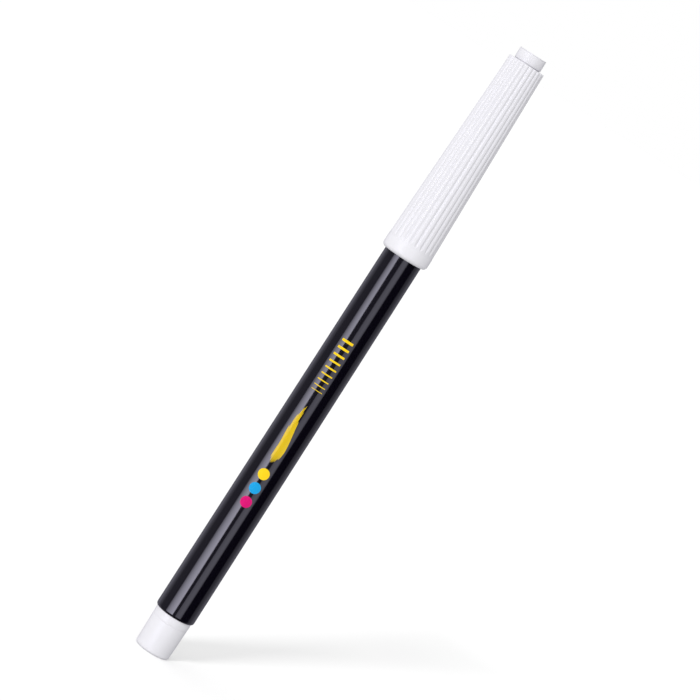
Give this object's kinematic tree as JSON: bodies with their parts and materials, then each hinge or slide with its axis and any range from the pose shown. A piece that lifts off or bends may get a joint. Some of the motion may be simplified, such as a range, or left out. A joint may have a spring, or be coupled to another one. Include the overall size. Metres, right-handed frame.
{
  "type": "capped brush pen",
  "caption": "Slim black brush pen standing on its white end plug, with a tapering fluted white cap that pulls off a pointed fibre nib.",
  "frame": {"origin": "centre of the end plug's flat face, which the pen stands on", "axes": "+Z along the pen's axis from the end plug to the cap's crown, -Y towards the printed side of the barrel, +X to the right of that side"},
  "size_m": [0.0104, 0.0104, 0.146],
  "materials": {
    "barrel_black": "polished",
    "trim_white": "semi-gloss moulded",
    "section_black": "satin",
    "nib_fibre": "bonded fibre, soaked with ink",
    "reservoir_fibre": "bonded fibre",
    "clear_film": "clear film",
    "natural_plastic": "satin, natural"
  },
  "bodies": {
    "pen": {"barrel": "barrel_black", "end_plug": "trim_white", "front_section": "section_black", "nib": "nib_fibre", "reservoir_core": "reservoir_fibre", "reservoir_wrap": "clear_film", "breather_tube": "natural_plastic"},
    "cap": {"cap_shell": "trim_white", "cap_liner": "natural_plastic", "cap_crown": "trim_white"}
  },
  "joints": [
    {"name": "cap_pull", "type": "slide", "parent": "pen", "child": "cap", "axis": [0, 0, 1], "range_m": [0, 0.06]}
  ]
}
